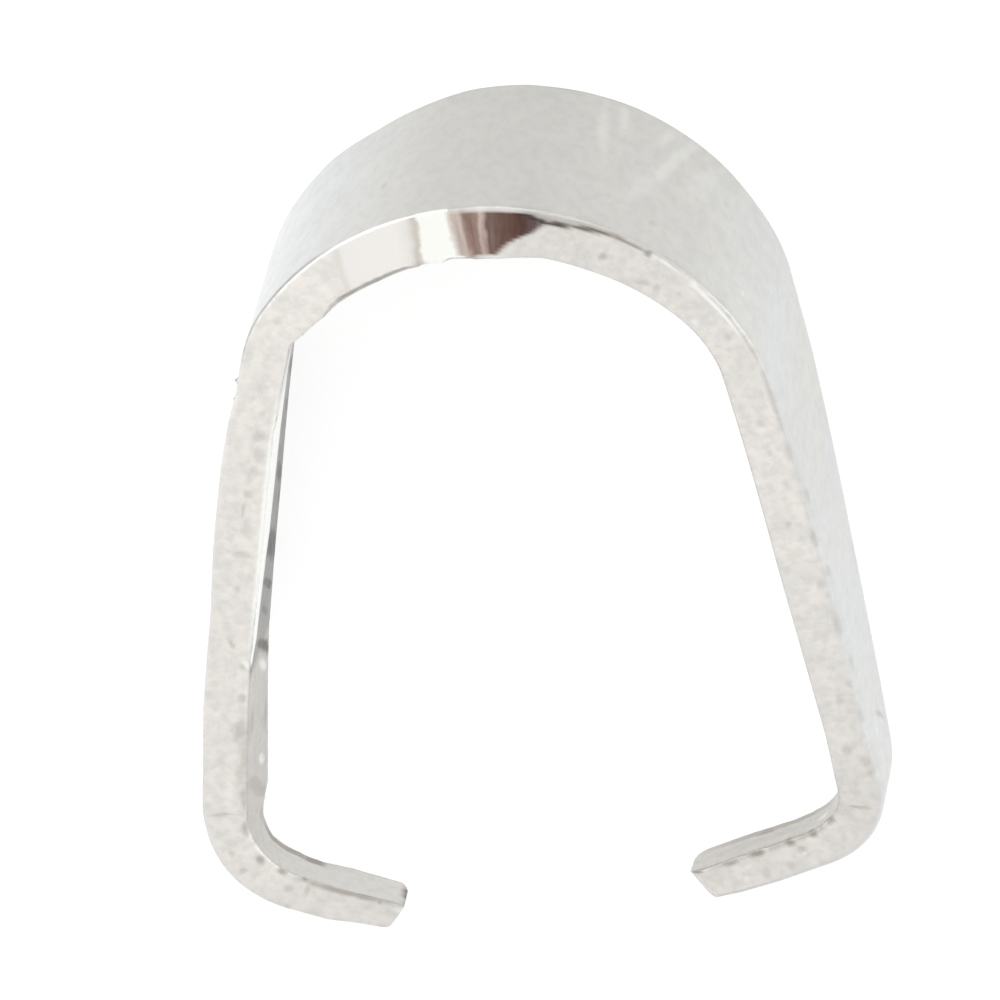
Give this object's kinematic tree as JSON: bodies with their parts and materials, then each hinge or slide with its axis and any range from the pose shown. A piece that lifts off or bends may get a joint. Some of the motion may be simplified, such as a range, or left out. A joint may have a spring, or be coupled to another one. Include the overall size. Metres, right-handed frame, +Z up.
{
  "type": "bail finding",
  "caption": "Jewellery pinch bail: an arched band of silver-plated sheet with tapering legs bent in to small gripping prongs.",
  "frame": {"origin": "on the surface that the bail lies on, below the middle of its box", "axes": "+Y from the prongs towards the crown, +Z up through the front cut edge, +X towards the right leg as the picture shows it"},
  "size_m": [0.007, 0.009, 0.0028],
  "materials": {
    "silver_plate": "silver plate over brass, satin on the outer face, granular and pitted on the cut edges, burnished at the crown"
  },
  "bodies": {
    "root": {"bail": "silver_plate"}
  },
  "joints": []
}
